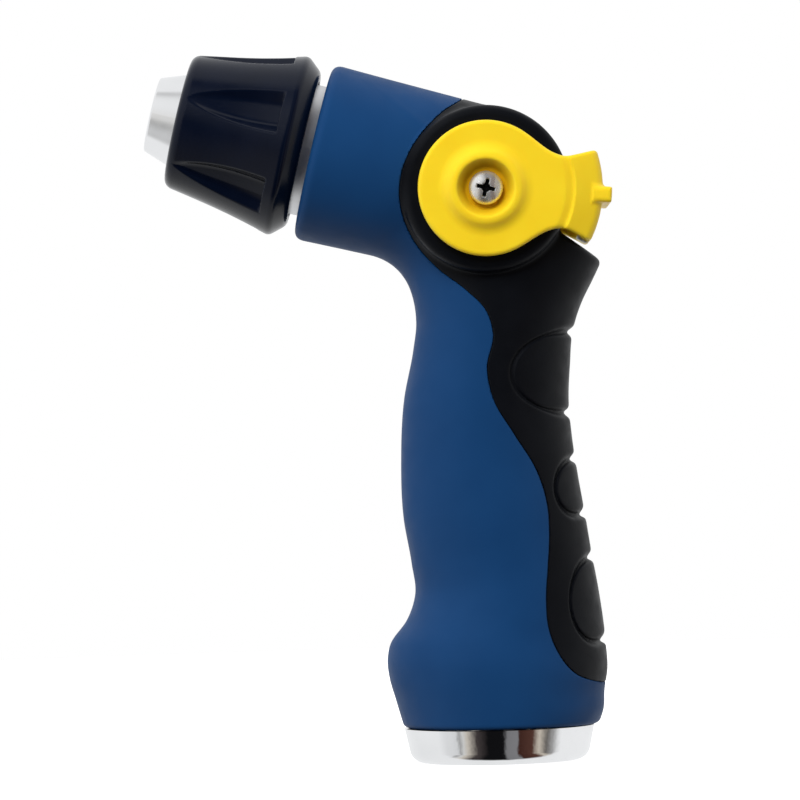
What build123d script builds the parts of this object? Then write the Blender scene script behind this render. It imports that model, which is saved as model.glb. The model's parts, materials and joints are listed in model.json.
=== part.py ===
from build123d import *
import math
import os

os.makedirs("parts", exist_ok=True)

# A pistol-shaped hose nozzle. Origin at the middle of the hose inlet's mouth, +Z up
# along the handle, -X towards the spray tip, Y across. All sizes in millimetres.

# ---- Overall layout ----
pivot_height = 125.2        # lever and valve axis above the base
barrel_tilt = 14.5          # how far the spray head points above level, degrees
lever_travel = 75.0         # closed to open, degrees

# ---- Hose inlet, 3/4-11.5 garden hose thread ----
hose_thread_r = 13.62
hose_thread_depth = 13.0
washer_pocket_r = 13.9
washer_thickness = 3.2
filter_thickness = 0.5
strainer_bore_r = 8.5
water_bore_r = 5.5          # next to the valve seats
waterway_r = 9.5            # along the handle and the barrel

# ---- Casting ----
base_ring_height = 7.6
base_rim_r = 17.0
base_belly = (18.8, 0.75)   # radius and height where the rim's rounding is steepest
base_shoulder = (19.8, 2.4)
base_ring_r = 20.9
cup_r = 17.0
cup_height = 20.0
handle_tube_r = 12.0
housing_r = 14.0
housing_half_width = 16.0
barrel_r = 14.5
barrel_end = 41.2           # distances along the barrel start at the pivot
nose_socket_r = 10.5
nose_socket_start = 30.0

# ---- Plug valve ----
rotor_r = 9.0
running_clearance = 0.05
bore_half_width = 13.0
rotor_half_width = 12.7
stub_r = 6.0
drive_square = 8.0
drive_end = 19.8
port_r = 4.5
seat_r = 6.8
seat_back = 12.0            # distance of the seat's back from the pivot
seat_ring_thickness = 1.4
o_ring_section_r = 0.75
o_ring_station = 10.5
stop_lug_r = 8.4
stop_lug_width = 20.0       # degrees
stop_margin = 3.0           # free angle at each end of the slot, degrees
retainer_r = 10.5

# ---- Outer form ----
head_r_rear = 18.8
head_r_front = 19.6
head_length = 38.2
lip_r = 18.2
lip_end = 39.1
hub_r = 18.3
hub_half_width = 18.8
hub_shoulder = 2.2
hub_hole_r = 10.3
split_r = 18.8              # colour boundary's radius about the pivot
hook_slope = 35.0           # fall of the thumb horn's top towards the back, degrees
hook_root = (15.2, 115.9)
# Handle cross-sections: height, front x, back x, half width.
handle_stations = [
    (7.7, -21.0, 21.6, 20.8),
    (13.8, -22.6, 23.2, 21.2),
    (22.6, -24.2, 24.1, 20.5),
    (29.4, -21.4, 23.4, 18.6),
    (37.4, -17.8, 22.5, 16.8),
    (48.5, -19.4, 20.8, 16.2),
    (61.9, -20.1, 18.7, 15.9),
    (76.9, -19.5, 17.3, 15.4),
    (88.9, -17.2, 17.7, 15.0),
    (98.9, -16.1, 19.9, 15.0),
    (106.4, -18.2, 23.5, 15.4),
    (110.9, -22.3, 25.2, 15.4),
    (114.9, -30.0, 26.4, 15.0),
]
# Blue and black boundary below the hub, in x and z.
flank_points = [
    (0.4, 95.9),
    (-0.8, 86.3),
    (4.9, 71.6),
    (11.8, 55.6),
    (11.2, 36.9),
    (12.9, 23.9),
    (22.4, 16.7),
]

# ---- Thumb lever ----
disc_r = 14.75
plate_inside = 19.1
plate_outside = 22.1
annulus_r = 9.5
annulus_face = 23.8
inner_boss_face = 16.9
recess_r_top = 6.35
recess_r_floor = 4.7
recess_floor = 20.8
strap_r_inside = 22.4
strap_r_outside = 25.4
strap_corner_r = 2.4
arm_angle = -4.5            # middle of the arm below level, closed
arm_blend_angle = 50.0      # where the arm leaves the disc, each side of its middle
arm_waist_reach = 16.6
arm_waist = 15.4
pad_half_angle = 22.2
rib_r = 27.6
rib_width = 3.4
rib_half_length = 20.4

# ---- Screws and washers ----
screw_r = 2.0
screw_head_r = 3.7
screw_head_height = 2.4
screw_tip = 12.0
screw_washer_r = 3.6
screw_washer_thickness = 0.5
cross_angle = -14.5         # turn of the cross recess in side view, degrees
cross_length = 4.0
cross_width = 1.0
cross_depth = 1.3
pivot_washer_thickness = 0.6

# ---- Spray head ----
nose_r = 11.5
nose_end = 58.8
nose_bore_r = 8.0
gasket_thickness = 1.0
sleeve_bore_r = 11.58
sleeve_start = 46.0
sleeve_r = 14.0
sleeve_chamber_r = 12.3
sleeve_land_end = 52.2
seal_station = 50.2
seal_groove_r = 13.2
throat_r = 5.0
tip_start = 69.4
tip_end = 75.3
tip_r_start = 10.3
tip_r_end = 8.2
tip_rounding = 0.6
stop_ring_start = 57.0
stop_ring_r = 11.95
stop_ring_thickness = 0.9
stem_r = 2.6
stem_tip_r = 4.3
spider_start = 50.0
spider_end = 54.0
knob_start = 41.0
knob_cavity_r = 15.2
knob_cavity_end = 45.0
knob_rear_r = 17.2
knob_max_r = 20.2
knob_max_station = 44.4
knob_front_r = 15.0
knob_front_station = 67.7
knob_end = 69.4
flute_count = 6
flute_start = 46.5
flute_point = 66.0
flute_half_angle = 15.0
flute_depth = 2.0
flute_phase = 19.0

pivot = (0, 0, pivot_height)
tilt = math.radians(barrel_tilt)

# Along the barrel: local z forwards, local y up, local x to the -Y side.
barrel_plane = Plane(
    origin=pivot, x_dir=(0, -1, 0), z_dir=(-math.cos(tilt), 0, math.sin(tilt))
)
# Across the pivot: local x is X, local y is Z, local z points to the -Y side.
side_plane = Plane(origin=pivot, x_dir=(1, 0, 0), z_dir=(0, -1, 0))
outline_plane = Plane(origin=(0, 0, 0), x_dir=(1, 0, 0), z_dir=(0, -1, 0))


def turned(profile, plane=Plane.XY):
    """Solid of revolution about the plane's z axis, from (radius, height) points."""
    outline = make_face(Polyline(*[(r, 0, h) for r, h in profile], close=True))
    return plane.location * revolve(outline, Axis.Z)


def ring(inner_r, outer_r, low, high, plane=Plane.XY):
    """Flat ring, or a disc where inner_r is 0."""
    return turned([(inner_r, low), (outer_r, low), (outer_r, high), (inner_r, high)], plane)


def rod(radius, low, high, plane=Plane.XY):
    return ring(0, radius, low, high, plane)


def o_ring(mean_r, section_r, station, plane):
    return plane.location * (Pos(0, 0, station) * Torus(mean_r, section_r))


def both_sides(shape):
    """The shape and its mirror image across the middle plane."""
    return [shape, mirror(shape, about=Plane.XZ)]


def group(shapes):
    """Separate solids kept together as one node."""
    return Compound(children=[solid for shape in shapes for solid in shape.solids()])


def polar(radius, angle):
    return (radius * math.cos(math.radians(angle)), radius * math.sin(math.radians(angle)))


def sector(inner_r, outer_r, first_angle, last_angle):
    """Face of a ring's sector in the plane's x and y."""
    middle = (first_angle + last_angle) / 2
    outer = ThreePointArc(
        polar(outer_r, first_angle), polar(outer_r, middle), polar(outer_r, last_angle)
    )
    inner = ThreePointArc(
        polar(inner_r, last_angle), polar(inner_r, middle), polar(inner_r, first_angle)
    )
    sides = [
        Line(polar(outer_r, last_angle), polar(inner_r, last_angle)),
        Line(polar(inner_r, first_angle), polar(outer_r, first_angle)),
    ]
    return make_face([outer, sides[0], inner, sides[1]])


# ---- Casting ----

def base_ring():
    """Plated ring at the hose end, rounded in towards its rim."""
    rim = (base_rim_r, 0, 0)
    belly = (base_belly[0], 0, base_belly[1])
    shoulder = (base_shoulder[0], 0, base_shoulder[1])
    top = (base_ring_r, 0, base_ring_height)
    straight_edges = Polyline(shoulder, top, (0, 0, base_ring_height), (0, 0, 0), rim)
    return revolve(make_face([ThreePointArc(rim, belly, shoulder), straight_edges]), Axis.Z)


def casting_outside():
    """The casting as it looks from outside, with nothing bored out of it."""
    handle = turned([
        (0, 1),
        (cup_r, 1),
        (cup_r, cup_height),
        (handle_tube_r, cup_height + 7),
        (handle_tube_r, pivot_height - 4),
        (0, pivot_height - 4),
    ])
    housing = rod(housing_r, -housing_half_width, housing_half_width, side_plane)
    barrel = rod(barrel_r, 0, barrel_end, barrel_plane)
    return base_ring() + handle + housing + barrel


def body_casting():
    washer_top = hose_thread_depth + washer_thickness
    filter_top = washer_top + filter_thickness
    pocket_depth = seat_back + seat_ring_thickness
    inlet = turned([
        (0, -1),
        (hose_thread_r, -1),
        (hose_thread_r, hose_thread_depth),
        (washer_pocket_r, hose_thread_depth),
        (washer_pocket_r, filter_top),
        (strainer_bore_r, filter_top),
        (strainer_bore_r, filter_top + 8),
        (waterway_r, filter_top + 9),
        (waterway_r, pivot_height - pocket_depth - 7),
        (water_bore_r, pivot_height - pocket_depth - 3),
        (water_bore_r, pivot_height),
        (0, pivot_height),
    ])
    inlet_pocket = rod(seat_r, pivot_height - pocket_depth, pivot_height)
    outlet = turned([
        (0, 0),
        (seat_r, 0),
        (seat_r, pocket_depth),
        (water_bore_r, pocket_depth),
        (water_bore_r, pocket_depth + 2),
        (waterway_r, pocket_depth + 6),
        (waterway_r, nose_socket_start),
        (nose_socket_r, nose_socket_start),
        (nose_socket_r, barrel_end + 1),
        (0, barrel_end + 1),
    ], barrel_plane)
    plug_bore = rod(
        rotor_r + running_clearance, -bore_half_width, bore_half_width, side_plane
    )
    retainer_bore = rod(retainer_r, -housing_half_width - 1, -bore_half_width, side_plane)
    stub_hole = rod(
        stub_r + running_clearance, bore_half_width - 1, housing_half_width + 1, side_plane
    )
    cuts = inlet_pocket + plug_bore + retainer_bore + stub_hole
    return casting_outside() - inlet - outlet - cuts


# ---- Soft mouldings ----

def outer_form():
    """Handle, head and hub as one closed form, before it is split by colour."""
    sections = [
        Pos((front + back) / 2, 0, z) * Ellipse((back - front) / 2, half_width)
        for z, front, back, half_width in handle_stations
    ]
    handle = loft(sections)
    horn_top = Location((hook_root[0], 0, hook_root[1]), (0, hook_slope, 0))
    handle -= horn_top * Box(60, 80, 20, align=(Align.MIN, Align.CENTER, Align.MIN))
    head = turned([
        (0, 0),
        (head_r_rear, 0),
        (head_r_front, head_length - 0.8),
        (head_r_front - 0.8, head_length),
        (lip_r, head_length),
        (lip_r - 1, lip_end),
        (0, lip_end),
    ], barrel_plane)
    hub = rod(hub_r, -hub_half_width, hub_half_width, side_plane)
    hub = fillet(hub.edges().filter_by(GeomType.CIRCLE), hub_shoulder)
    spot_faces = [
        rod(split_r, hub_half_width, hub_half_width + 10, side_plane),
        rod(split_r, -hub_half_width - 10, -hub_half_width, side_plane),
    ]
    return handle + head + hub - spot_faces[0] - spot_faces[1]


def black_region():
    """Everything behind the colour boundary, as a slab across the whole nozzle."""
    def about_pivot(angle):
        x, z = polar(split_r, angle)
        return (x, pivot_height + z)

    hub_arc = ThreePointArc(about_pivot(115), about_pivot(168), about_pivot(221))
    flank = Spline(about_pivot(221), *flank_points)
    x, z = polar(split_r + 12, 115)
    outer_side = Polyline(
        flank_points[-1],
        (40, flank_points[-1][1]),
        (40, pivot_height + 40),
        (x, pivot_height + 40),
        (x, pivot_height + z),
        about_pivot(115),
    )
    face = outline_plane.location * make_face([hub_arc, flank, outer_side])
    return extrude(face, amount=40, both=True)


def soft_mouldings():
    """The blue jacket and the black grip, moulded round the casting."""
    form = outer_form() - casting_outside()
    slab = black_region()
    hub_holes = rod(hub_hole_r, -hub_half_width - 1, hub_half_width + 1, side_plane)
    jacket = form - slab
    grip = (form & slab) - hub_holes
    return jacket, grip


# ---- Plug valve ----

def valve_rotor():
    """Plug with its L-shaped water way, drawn closed, with a square drive at each end."""
    plug = rod(rotor_r, -rotor_half_width, rotor_half_width, side_plane)
    stubs = rod(stub_r, -inner_boss_face, inner_boss_face, side_plane)
    drive = side_plane.location * Box(drive_square, drive_square, 2 * drive_end)
    lug_face = sector(stub_r - 1, stub_r + 2.4, -stop_lug_width / 2, stop_lug_width / 2)
    lug = extrude(lug_face, amount=-3.0)
    lug = side_plane.location * (Pos(0, 0, -rotor_half_width) * lug)
    rotor = plug + stubs + drive + lug
    inlet_angle = -90 - lever_travel
    outlet_angle = 180 - barrel_tilt - lever_travel
    for angle in (inlet_angle, outlet_angle):
        leg = Rot(0, 0, angle) * Rot(0, 90, 0) * Cylinder(
            port_r, rotor_r + 1, align=(Align.CENTER, Align.CENTER, Align.MIN)
        )
        rotor -= side_plane.location * leg
    rotor -= side_plane.location * Sphere(port_r)
    groove_r = rotor_r - 2 * o_ring_section_r
    for station in (-o_ring_station, o_ring_station):
        rotor -= ring(groove_r, rotor_r + 1, station - 1, station + 1, side_plane)
    for side in (-1, 1):
        low, high = sorted((side * screw_tip, side * (drive_end + 1)))
        rotor -= rod(screw_r, low, high, side_plane)
    return rotor


def rotor_o_rings():
    mean_r = rotor_r - o_ring_section_r
    return group(both_sides(o_ring(mean_r, o_ring_section_r, o_ring_station, side_plane)))


def seat(plane, facing):
    """Seat ring whose face fits the plug, standing off the pivot along the plane's z."""
    blank = ring(port_r, seat_r, *sorted((0, facing * seat_back)), plane)
    return blank - rod(rotor_r + running_clearance, -20, 20, side_plane)


inlet_axis = Plane(origin=pivot, x_dir=(1, 0, 0), z_dir=(0, 0, -1))


def seat_o_rings():
    rings = [
        ring(water_bore_r, seat_r, seat_back, seat_back + seat_ring_thickness, plane)
        for plane in (inlet_axis, barrel_plane)
    ]
    return group(rings)


def valve_retainer():
    """Screwed ring on the +Y side, with the slot that limits the plug's turn."""
    blank = ring(
        stub_r + running_clearance, retainer_r, -housing_half_width, -bore_half_width, side_plane
    )
    slot = sector(
        stub_r - 1,
        stop_lug_r + 0.4,
        -stop_lug_width / 2 - stop_margin,
        stop_lug_width / 2 + stop_margin + lever_travel,
    )
    slot = Pos(0, 0, -housing_half_width - 1) * extrude(slot, amount=6)
    return blank - side_plane.location * slot


def pivot_washers():
    return group(both_sides(ring(
        stub_r + 0.1,
        hub_hole_r - 0.1,
        housing_half_width,
        housing_half_width + pivot_washer_thickness,
        side_plane,
    )))


# ---- Thumb lever ----

def lever_outline():
    """Side view of disc and arm, about the pivot, out to the pad's outer face."""
    disc_end = polar(disc_r, arm_blend_angle)
    waist = (arm_waist_reach, arm_waist / 2)
    corner = polar(strap_r_outside, pad_half_angle)
    blend_direction = polar(1, arm_blend_angle - 90)
    edges = [
        Spline(disc_end, waist, tangents=[blend_direction, (1, 0.15)]),
        Line(waist, corner),
    ]
    edges += [mirror(edge, about=Plane.XZ) for edge in edges]
    edges.append(ThreePointArc(corner, (strap_r_outside, 0), (corner[0], -corner[1])))
    edges.append(Line(disc_end, (disc_end[0], -disc_end[1])))
    return Circle(disc_r) + Rot(0, 0, arm_angle) * make_face(edges)


def thumb_lever():
    yoke = extrude(lever_outline(), amount=plate_outside, both=True)
    outer_corners = yoke.edges().filter_by(GeomType.CIRCLE).filter_by(
        lambda edge: abs(edge.radius - strap_r_outside) < 0.01
    )
    yoke = fillet(outer_corners, strap_corner_r)
    yoke -= Cylinder(strap_r_inside, 2 * plate_inside)
    rib = Box(
        rib_r - strap_r_inside - 1, rib_width, 2 * rib_half_length,
        align=(Align.MIN, Align.CENTER, Align.CENTER),
    )
    yoke += Rot(0, 0, arm_angle) * (Pos(strap_r_inside + 1, 0, 0) * rib)
    for side in (-1, 1):
        boss = turned([
            (0, inner_boss_face),
            (annulus_r, inner_boss_face),
            (annulus_r, annulus_face - 0.5),
            (annulus_r - 0.5, annulus_face),
            (0, annulus_face),
        ])
        recess = turned([
            (0, recess_floor),
            (recess_r_floor, recess_floor),
            (recess_r_top, annulus_face),
            (recess_r_top, annulus_face + 1),
            (0, annulus_face + 1),
        ])
        hole = rod(screw_r + 0.1, drive_end - 1, recess_floor + 1)
        drive = Pos(0, 0, inner_boss_face - 1) * Box(
            drive_square + 0.1,
            drive_square + 0.1,
            drive_end - inner_boss_face + 1,
            align=(Align.CENTER, Align.CENTER, Align.MIN),
        )
        flip = Rot(0 if side > 0 else 180, 0, 0)
        yoke = yoke + flip * boss - flip * recess - flip * hole - flip * drive
    return side_plane.location * yoke


def lever_screws():
    head_base = recess_floor + screw_washer_thickness
    head_top = head_base + screw_head_height
    screw = turned([
        (0, screw_tip),
        (screw_r - 0.4, screw_tip),
        (screw_r, screw_tip + 0.6),
        (screw_r, head_base),
        (screw_head_r, head_base),
        (screw_head_r, head_base + 1.2),
        (screw_head_r - 0.5, head_base + 1.9),
        (screw_head_r - 1.5, head_top),
        (0, head_top),
    ])
    for angle in (cross_angle, cross_angle + 90):
        slot = Box(
            cross_length, cross_width, cross_depth, align=(Align.CENTER, Align.CENTER, Align.MAX)
        )
        screw -= Pos(0, 0, head_top) * Rot(0, 0, angle) * slot
    return group(both_sides(side_plane.location * screw))


def screw_washers():
    return group(both_sides(ring(
        screw_r + 0.1,
        screw_washer_r,
        recess_floor,
        recess_floor + screw_washer_thickness,
        side_plane,
    )))


# ---- Spray head ----

def barrel_nose():
    """Threaded spigot, screwed into the casting, that the sleeve travels on."""
    return turned([
        (nose_bore_r - 1, nose_socket_start + gasket_thickness),
        (nose_socket_r, nose_socket_start + gasket_thickness),
        (nose_socket_r, barrel_end),
        (nose_r, barrel_end),
        (nose_r, stop_ring_start),
        (nose_r - 1, stop_ring_start),
        (nose_r - 1, stop_ring_start + stop_ring_thickness),
        (nose_r, stop_ring_start + stop_ring_thickness),
        (nose_r, nose_end),
        (nose_bore_r, nose_end),
        (nose_bore_r, spider_start),
        (nose_bore_r - 1, spider_start),
    ], barrel_plane)


def nose_gasket():
    return ring(
        nose_bore_r, nose_socket_r, nose_socket_start,
        nose_socket_start + gasket_thickness, barrel_plane,
    )


def travel_stop_ring():
    return ring(
        nose_r - 1, stop_ring_r, stop_ring_start, stop_ring_start + stop_ring_thickness, barrel_plane
    )


def spray_stem():
    """Stem with a flared tip, on three spokes that sit in the nose's bore."""
    stem = turned([
        (0, spider_start - 3),
        (stem_r, spider_start),
        (stem_r, tip_start - 1),
        (stem_tip_r, tip_end - 2.4),
        (stem_tip_r, tip_end - 1.4),
        (stem_tip_r - 0.8, tip_end - 0.8),
        (0, tip_end - 0.8),
    ])
    rim = ring(nose_bore_r - 1, nose_bore_r, spider_start, spider_end)
    spider = stem + rim
    for spoke in range(3):
        bar = Pos(nose_bore_r / 2, 0, (spider_start + spider_end) / 2) * Box(
            nose_bore_r - 1, 1.6, spider_end - spider_start
        )
        spider += Rot(0, 0, 120 * spoke) * bar
    return barrel_plane.location * spider


def head_seal_ring():
    section_r = 0.7
    mean_r = (nose_r + seal_groove_r) / 2
    return o_ring(mean_r, section_r, seal_station, barrel_plane)


def nozzle_sleeve():
    """Internally threaded sleeve that ends in the conical spray tip."""
    sleeve = turned([
        (sleeve_bore_r, sleeve_start),
        (sleeve_r, sleeve_start),
        (sleeve_r, knob_front_station - 1.7),
        (tip_r_start, knob_front_station - 1.7),
        (tip_r_start, tip_start),
        (tip_r_end, tip_end),
        (throat_r + 1.9, tip_end),
        (throat_r, tip_end - 3.6),
        (throat_r, tip_start - 2),
        (sleeve_chamber_r, knob_front_station - 5.2),
        (sleeve_chamber_r, sleeve_land_end),
        (sleeve_bore_r, sleeve_land_end),
        (sleeve_bore_r, seal_station + 0.9),
        (seal_groove_r + 0.1, seal_station + 0.9),
        (seal_groove_r + 0.1, seal_station - 0.9),
        (sleeve_bore_r, seal_station - 0.9),
    ], barrel_plane)
    front_edge = sleeve.edges().filter_by(GeomType.CIRCLE).filter_by(
        lambda edge: abs(edge.radius - tip_r_end) < 0.01
    )
    return fillet(front_edge, tip_rounding)


def knob_r(station):
    """Radius of the knob's outside between its widest and its front edge."""
    share = (station - knob_max_station) / (knob_front_station - knob_max_station)
    return knob_max_r + share * (knob_front_r - knob_max_r)


def twist_knob():
    knob = turned([
        (knob_cavity_r, knob_start),
        (knob_rear_r, knob_start),
        (knob_max_r - 0.4, knob_max_station - 0.8),
        (knob_max_r, knob_max_station),
        (knob_front_r, knob_front_station),
        (knob_front_r - 0.8, knob_front_station + 1.1),
        (knob_front_r - 2.2, knob_end),
        (tip_r_start, knob_end),
        (tip_r_start, knob_front_station - 1.7),
        (sleeve_r, knob_front_station - 1.7),
        (sleeve_r, knob_cavity_end),
        (knob_cavity_r, knob_cavity_end),
    ])
    floor_r = knob_r(flute_start) - flute_depth
    run = flute_point - flute_start
    half_width = knob_r(flute_start) * math.sin(math.radians(flute_half_angle))
    fall = floor_r - knob_r(flute_point)
    length = math.hypot(run, fall)
    # The flute's floor starts flute_depth below the surface and meets it at the point.
    floor_plane = Plane(
        origin=(floor_r, 0, flute_start), x_dir=(-fall, 0, run), z_dir=(run, 0, fall)
    )
    triangle = make_face(Polyline((0, -half_width), (length, 0), (0, half_width), close=True))
    cutter = extrude(floor_plane.location * triangle, amount=8, dir=(run, 0, fall))
    for flute in range(flute_count):
        knob -= Rot(0, 0, flute_phase + flute * 360 / flute_count) * cutter
    return barrel_plane.location * knob


# ---- Hose end ----

def inlet_washer():
    return ring(
        strainer_bore_r, hose_thread_r - 0.1, hose_thread_depth,
        hose_thread_depth + washer_thickness,
    )


def filter_screen():
    """Domed strainer with a flat rim that the hose washer holds."""
    rim_low = hose_thread_depth + washer_thickness
    rim_high = rim_low + filter_thickness
    wall = 0.6
    dome_r = strainer_bore_r - 0.5
    rise = 6.0
    outer = ThreePointArc((dome_r, 0, rim_high), (dome_r * 0.72, 0, rim_high + rise * 0.62),
                          (0, 0, rim_high + rise))
    inner = ThreePointArc((0, 0, rim_high + rise - wall),
                          (dome_r * 0.72 - wall * 0.7, 0, rim_high + rise * 0.62 - wall * 0.7),
                          (dome_r - wall, 0, rim_low))
    edges = [
        outer,
        Line((0, 0, rim_high + rise), (0, 0, rim_high + rise - wall)),
        inner,
        Line((dome_r - wall, 0, rim_low), (washer_pocket_r - 0.3, 0, rim_low)),
        Line((washer_pocket_r - 0.3, 0, rim_low), (washer_pocket_r - 0.3, 0, rim_high)),
        Line((washer_pocket_r - 0.3, 0, rim_high), (dome_r, 0, rim_high)),
    ]
    screen = revolve(make_face(edges), Axis.Z)
    hole = Pos(0, 0, rim_low) * Cylinder(
        0.55, rise + 2, align=(Align.CENTER, Align.CENTER, Align.MIN)
    )
    screen -= hole
    for hole_circle in (1, 2, 3):
        count = 6 * hole_circle
        for step in range(count):
            screen -= Rot(0, 0, step * 360 / count) * (Pos(1.95 * hole_circle, 0, 0) * hole)
    return screen


rubber_jacket, grip_insert = soft_mouldings()

nodes = {
    "body_casting": body_casting(),
    "rubber_jacket": rubber_jacket,
    "grip_insert": grip_insert,
    "valve_rotor": valve_rotor(),
    "rotor_o_rings": rotor_o_rings(),
    "inlet_seat": seat(inlet_axis, 1),
    "outlet_seat": seat(barrel_plane, 1),
    "seat_o_rings": seat_o_rings(),
    "valve_retainer": valve_retainer(),
    "pivot_washers": pivot_washers(),
    "thumb_lever": thumb_lever(),
    "lever_screws": lever_screws(),
    "screw_washers": screw_washers(),
    "barrel_nose": barrel_nose(),
    "nose_gasket": nose_gasket(),
    "spray_stem": spray_stem(),
    "travel_stop_ring": travel_stop_ring(),
    "head_seal_ring": head_seal_ring(),
    "nozzle_sleeve": nozzle_sleeve(),
    "twist_knob": twist_knob(),
    "inlet_washer": inlet_washer(),
    "filter_screen": filter_screen(),
}

for name, shape in nodes.items():
    export_step(shape, f"parts/{name}.step")
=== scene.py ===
import json
import math

import bpy
import numpy as np
from mathutils import Matrix, Vector


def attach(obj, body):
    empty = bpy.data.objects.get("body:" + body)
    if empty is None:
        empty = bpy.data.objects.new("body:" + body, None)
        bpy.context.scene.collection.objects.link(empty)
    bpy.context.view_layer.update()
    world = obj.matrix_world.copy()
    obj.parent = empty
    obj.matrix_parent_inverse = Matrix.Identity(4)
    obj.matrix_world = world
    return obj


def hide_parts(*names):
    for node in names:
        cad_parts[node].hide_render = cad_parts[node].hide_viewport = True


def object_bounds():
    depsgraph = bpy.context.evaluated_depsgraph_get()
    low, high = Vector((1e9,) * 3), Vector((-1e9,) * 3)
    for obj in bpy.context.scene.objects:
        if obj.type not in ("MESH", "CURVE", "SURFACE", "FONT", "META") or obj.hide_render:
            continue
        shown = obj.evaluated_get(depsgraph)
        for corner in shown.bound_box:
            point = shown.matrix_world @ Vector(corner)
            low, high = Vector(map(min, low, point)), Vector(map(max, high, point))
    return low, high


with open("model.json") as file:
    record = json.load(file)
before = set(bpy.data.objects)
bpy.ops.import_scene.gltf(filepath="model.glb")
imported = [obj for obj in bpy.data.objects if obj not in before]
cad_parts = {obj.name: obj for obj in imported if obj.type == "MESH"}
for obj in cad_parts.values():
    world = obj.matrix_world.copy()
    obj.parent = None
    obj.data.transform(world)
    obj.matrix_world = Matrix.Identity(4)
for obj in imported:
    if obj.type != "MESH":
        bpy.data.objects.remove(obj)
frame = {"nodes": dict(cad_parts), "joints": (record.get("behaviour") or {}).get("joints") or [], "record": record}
cad_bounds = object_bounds()

# Shapes are in millimetres until their mesh is made. Everything else is in metres.
MM = 0.001
joints = {joint["name"]: joint for joint in frame["joints"]}
pivot_z = joints["lever_pivot"]["pos_m"][2] / MM
axis_x, _, axis_z = joints["head_twist"]["axis"]


# ---------------------------------------------------------------- camera

AIM = Vector((-0.020, 0.0, 0.0798))
CAMERA_DISTANCE = 1.3
CAMERA_YAW = math.radians(0.6)
CAMERA_ROLL = math.radians(1.5)
VIEW_WIDTH = 0.176
SENSOR_WIDTH = 36.0


def make_camera():
    data = bpy.data.cameras.new("camera")
    data.sensor_width = SENSOR_WIDTH
    data.lens = SENSOR_WIDTH * CAMERA_DISTANCE / VIEW_WIDTH
    data.clip_end = 20
    camera = bpy.data.objects.new("camera", data)
    bpy.context.scene.collection.objects.link(camera)
    outward = Vector((math.sin(CAMERA_YAW), -math.cos(CAMERA_YAW), 0))
    tilted_up = Vector((math.sin(CAMERA_ROLL), 0, math.cos(CAMERA_ROLL)))
    right = tilted_up.cross(outward).normalized()
    up = outward.cross(right)
    turn = Matrix((right, up, outward)).transposed().to_4x4()
    camera.matrix_world = Matrix.Translation(AIM + outward * CAMERA_DISTANCE) @ turn
    bpy.context.scene.camera = camera


# ---------------------------------------------------------------- distance fields

def smooth_min(a, b, blend):
    """The lower of two fields, blended where they differ by less than blend."""
    share = np.clip(0.5 + 0.5 * (b - a) / blend, 0, 1)
    return b + (a - b) * share - blend * share * (1 - share)


def smooth_max(a, b, blend):
    return -smooth_min(-a, -b, blend)


def smooth_step(low, high, value):
    t = np.clip((value - low) / (high - low), 0, 1)
    return t * t * (3 - 2 * t)


def smooth_curve(stations):
    """Function through (position, value) stations, with no corners."""
    places, values = np.array(stations, float).T
    slopes = np.gradient(values, places)

    def evaluate(position):
        position = np.clip(position, places[0], places[-1])
        i = np.clip(np.searchsorted(places, position, side="right") - 1, 0, len(places) - 2)
        span = places[i + 1] - places[i]
        t = (position - places[i]) / span
        rise = values[i + 1] - values[i]
        start, end = slopes[i] * span, slopes[i + 1] * span
        square = 3 * rise - 2 * start - end
        cube = start + end - 2 * rise
        return values[i] + t * (start + t * (square + t * cube))

    return evaluate


def along_barrel(x, y, z):
    """Distance forwards along the barrel, distance up from its axis, and radius."""
    height = z - pivot_z
    forwards = x * axis_x + height * axis_z
    up = x * axis_z - height * axis_x
    return forwards, up, np.hypot(up, y)


NUDGE = 0.02                # how far apart a field is read to find its slope
MOST_MOVE = 0.25            # how far one step may move a point
RELAX_SHARE, RELAX_ROUNDS = 0.5, 2


def surface_points(field, points, steps=3):
    """Moves the points onto the surface, and gives them with their normals."""
    for step in range(steps + 1):
        gradient = np.empty_like(points)
        for axis in range(3):
            offset = np.zeros(3)
            offset[axis] = NUDGE
            ahead = field(*(points + offset).T)
            behind = field(*(points - offset).T)
            gradient[:, axis] = (ahead - behind) / (2 * NUDGE)
        length = np.maximum(np.linalg.norm(gradient, axis=1), 1e-6)
        normals = gradient / length[:, None]
        if step < steps:
            move = np.clip(field(*points.T) / length, -MOST_MOVE, MOST_MOVE)
            points = points - move[:, None] * normals
    return points, normals


def relaxed(points, quads, share):
    """Points moved towards the middle of their neighbours."""
    total = np.zeros_like(points)
    count = np.zeros(len(points))
    for a, b in ((0, 1), (1, 2), (2, 3), (3, 0)):
        for here, there in ((a, b), (b, a)):
            np.add.at(total, quads[:, here], points[quads[:, there]])
            np.add.at(count, quads[:, here], 1)
    return points + share * (total / count[:, None] - points)


def thinned(points, faces, share):
    """The same surface with that share of its triangles, taken from its flat stretches."""
    mesh = bpy.data.meshes.new("dense")
    mesh.from_pydata(points.tolist(), [], faces.tolist())
    dense = bpy.data.objects.new("dense", mesh)
    bpy.context.scene.collection.objects.link(dense)
    modifier = dense.modifiers.new("thin", "DECIMATE")
    modifier.ratio = share
    modifier.use_collapse_triangulate = True
    bpy.context.view_layer.update()
    thin = dense.evaluated_get(bpy.context.evaluated_depsgraph_get()).to_mesh()
    places = np.empty(3 * len(thin.vertices))
    thin.vertices.foreach_get("co", places)
    triangles = np.empty(3 * len(thin.polygons), np.int64)
    thin.polygons.foreach_get("vertices", triangles)
    bpy.data.objects.remove(dense)
    bpy.data.meshes.remove(mesh)
    return places.reshape(-1, 3), triangles.reshape(-1, 3)


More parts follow.
